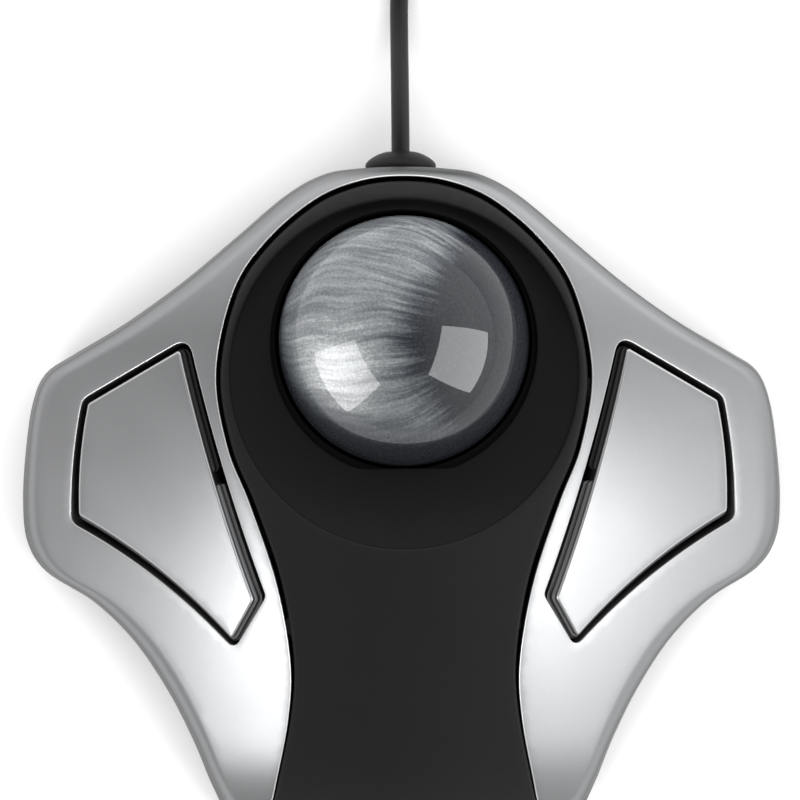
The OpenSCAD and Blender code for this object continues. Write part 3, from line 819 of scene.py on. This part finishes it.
def button(side):
    """A button: rounded top edge, leaning wall with a stepped flange that a short slot breaks, pusher and
    hinge boss."""
    mesh = Mesh()
    loop = rounded(BUTTON)
    if side > 0:
        loop = mirrored(loop)
    edge_r, depth = 0.4, 3.6
    slot_near, slot_far, slot_end = 5.4, 7.7, 0.12
    top = mesh.ring(upright(grown(loop, -edge_r)))
    rings = [top]
    for a in quarter(6)[1:]:
        moved = grown(loop, -edge_r * (1 - math.sin(a)))
        rings.append(mesh.ring(leaned(moved, edge_r * (1 - math.cos(a)), side)))
    # the flange is wider towards the palm and the middle, and the slot breaks it
    y = loop[:, 1]
    keep = np.clip(np.maximum(y - slot_far, slot_near - y) / slot_end, 0, 1)
    normal = normals(loop)
    wide = 0.42 + 0.4 * np.clip((-side * normal[:, 0] * 0.5 - normal[:, 1] * 0.85 + 0.4) / 0.5, 0, 1)
    for out, down in ((0, 0.9), (0.1, 1.0), (0.45, 1.08), (0.5, 1.2), (0.5, 1.8), (0.6, 1.9), (0.95, 1.96),
                      (1, 2.1), (1, depth)):
        rings.append(mesh.ring(leaned(loop + normal * (out * wide * keep)[:, None], down, side)))
    rings.append(mesh.ring(leaned(grown(loop, -edge_r), depth, side)))
    under = mesh.ring(upright(grown(loop, -edge_r), WALL))
    rings.append(under)
    # the rounding is a lighter copy of the silver that paints a highlight line; below it the wall is flange on
    # the palm side of the slot, else inside
    for k, (a, b) in enumerate(zip(rings, rings[1:])):
        mesh.strip(a, b, 3 if k < 5 else (lambda i: 1 if y[i] > slot_near else 2))
    mesh.sheet(top, [], surface, 1.0, below=(under, [], underside))
    px, py = PUSHER
    mesh.rod((side * px, py, 16.08), (side * px, py, underside(px, py) + 0.6), 1.6, slot=1)
    pin, along = hinge(side)
    up = Vector((side * 0.352, -0.128, 0.927))
    mesh.rod(pin - along * 3, pin + along * 3, 2.2, slot=1)
    mesh.rod(pin, pin + up * 4, 2.1, slot=1)
    return mesh.object("left_button" if side < 0 else "right_button", [silver, inside, flange, painted_soft_highlight])


def base_shell():
    """The black base: floor, rounded side wall, screw and foot recesses, posts and hinge bearings."""
    mesh = Mesh()
    body = outline(BODY, 1.3)
    bottom, floor_top, round_high, round_in = 0.8, 2.8, 2.4, 1.4
    rings = [mesh.ring([(*p, z) for p in inset(body, t)])
             for t, z in ((3.1, floor_top), (3.0, PART), (1.1, PART), (0.85, 5.75))]
    for a in quarter(8):
        moved = inset(body, 0.8 + round_in * (1 - math.cos(a)))
        rings.append(mesh.ring([(*p, bottom + round_high * (1 - math.sin(a))) for p in moved]))
    mesh.strips(rings)
    inner_floor, outer_floor = rings[0], rings[-1]
    blind = [(s * x, y, 1.9, 1.0) for s in (-1, 1) for x, y in SHELL_POSTS + COVER_POSTS]
    blind += [(s * x, y, r + 0.1, 0.5) for s in (-1, 1) for x, y, r in FEET]
    mouths = []
    for x, y, r, deep in blind:
        turn = [(x + r * math.cos(t), y + r * math.sin(t)) for t in full_turn(28)]
        mouths.append(mesh.ring([(*p, bottom) for p in turn]))
        end = mesh.ring([(*p, bottom + deep) for p in turn])
        mesh.strip(mouths[-1], end)
        mesh.cap(end)
    mesh.sheet(outer_floor, mouths, lambda x, y: bottom, 3)
    mesh.sheet(inner_floor, [], lambda x, y: floor_top, 4)
    foot = floor_top - 0.3
    posts = ((SHELL_POSTS, 2.7, PART), (COVER_POSTS, 3, 10), (BOARD_POSTS, 2.6, 7), (SOCKET_POSTS, 2.7, 24.6))
    for s in (-1, 1):
        for places, r, high in posts:
            for x, y in places:
                mesh.rod((s * x, y, foot), (s * x, y, high), r)
        pin, along = hinge(s)
        for d in (-6, 6):
            at = pin + along * d
            mesh.rod(at - along * 1.5, at + along * 1.5, 2.2)
            mesh.rod((at.x, at.y, foot), (at.x, at.y, at.z), 1.5)
    return mesh.object("base_shell", [base_black])


def feet():
    """Six rubber feet in the base's recesses."""
    mesh = Mesh()
    for s in (-1, 1):
        for x, y, r in FEET:
            lathe(mesh, [(r - 0.5, 0), (r - 0.15, 0.12), (r, 0.45), (r, 1.3)], (s * x, y, 0), n=48)
    return mesh.object("feet", [rubber])


def ball():
    """The pearl ball, a true sphere."""
    bpy.ops.mesh.primitive_uv_sphere_add(segments=128, ring_count=64, radius=BALL_R * MM,
                                         location=[c * MM for c in BALL])
    obj = bpy.context.active_object
    obj.name = "ball"
    obj.data.materials.append(pearl_grey)
    bpy.ops.object.shade_smooth()
    return obj


shells = [piece(top_shell(), "body", "top_shell"),
          piece(button(-1), "left_button", "left_button"),
          piece(button(1), "right_button", "right_button")]
piece(centre_cover(), "body", "centre_cover")
piece(base_shell(), "body", "base_shell")
piece(feet(), "body", "feet")
round_ball = piece(ball(), "ball", "ball")

# ------------------------------------------------------------------ studio
bpy.ops.mesh.primitive_plane_add(size=6, location=(0, 0, 0))
floor = bpy.context.active_object
floor.name = "floor"
paper = material("floor", (0.95, 0.95, 0.95), 0.7, vary=0.01)
floor.data.materials.append(paper)


def lamp(name, towards, distance, size, power):
    """A soft lamp in that direction from the middle of the body, and facing it."""
    data = bpy.data.lights.new(name, "AREA")
    data.shape = "RECTANGLE"
    data.size, data.size_y = size
    data.energy = power
    obj = bpy.data.objects.new(name, data)
    bpy.context.scene.collection.objects.link(obj)
    way = Vector(towards).normalized()
    obj.location = Vector((0, 0.01, 0.025)) + way * distance
    obj.rotation_mode = "QUATERNION"
    obj.rotation_quaternion = way.to_track_quat("Z", "Y")


def lights_only(name, objects):
    """The lamp of that name lights these objects alone."""
    group = bpy.data.collections.new(name)
    for obj in objects:
        group.objects.link(obj)
    bpy.data.objects[name].light_linking.receiver_collection = group


# two windows for the ball alone, which show in it as reflections
for name, towards in (("window_left", (-0.80, -0.44, 0.41)), ("window_right", (0.79, -0.22, 0.57))):
    lamp(name, towards, distance=0.7, size=(0.62, 0.66), power=11.5)
    lights_only(name, [round_ball])
    bpy.data.objects[name].visible_diffuse = False
# lamps from the palm side: the glow on the silver beside the cover
for name, towards, side, power in (("palm_left", (-0.525, -0.495, 0.69), 0.20, 1.6),
                                   ("palm_right", (0.59, -0.42, 0.69), 0.30, 2.0),
                                   ("low_left", (-0.46, -0.655, 0.59), 0.20, 0.95),
                                   ("low_right", (0.49, -0.64, 0.59), 0.30, 0.4)):
    lamp(name, towards, distance=0.9, size=(side, side), power=power)
    lights_only(name, shells + [floor])
lamp("floor_fill", (0, 0, 1), distance=1.2, size=(1.6, 1.6), power=5)
lights_only("floor_fill", [floor])
# the room: brightest at the right and the back, less so at the left, darker in front and in the middle, and a
# little darker at the horizon and overhead
world = bpy.data.worlds.new("studio")
bpy.context.scene.world = world
world.use_nodes = True
sky = world.node_tree
way = sky.nodes.new("ShaderNodeTexCoord")
parts = sky.nodes.new("ShaderNodeSeparateXYZ")
sky.links.new(way.outputs["Generated"], parts.inputs["Vector"])
light = None
for axis, low, high, first, last in (("X", 0, 1, 0.54, 1.71), ("X", -1, 0, 0.51, 0), ("Y", 0, 1, 0, 1.48),
                                     ("Z", 0.10, 0.45, -0.25, 0), ("Z", 0.40, 0.62, 0, -0.22),
                                     ("Z", 0.75, 0.97, 0, -0.22)):
    ramp = sky.nodes.new("ShaderNodeMapRange")
    ramp.interpolation_type = "SMOOTHSTEP" if axis == "Z" else "LINEAR"
    for label, value in (("From Min", low), ("From Max", high), ("To Min", first), ("To Max", last)):
        ramp.inputs[label].default_value = value
    sky.links.new(parts.outputs[axis], ramp.inputs["Value"])
    if light is None:
        light = ramp.outputs["Result"]
    else:
        total = sky.nodes.new("ShaderNodeMath")
        sky.links.new(light, total.inputs[0])
        sky.links.new(ramp.outputs["Result"], total.inputs[1])
        light = total.outputs[0]
sky.links.new(light, sky.nodes["Background"].inputs["Strength"])
sky.nodes["Background"].inputs["Color"].default_value = (1, 1, 1, 1)
bpy.context.scene.view_settings.view_transform = "Standard"
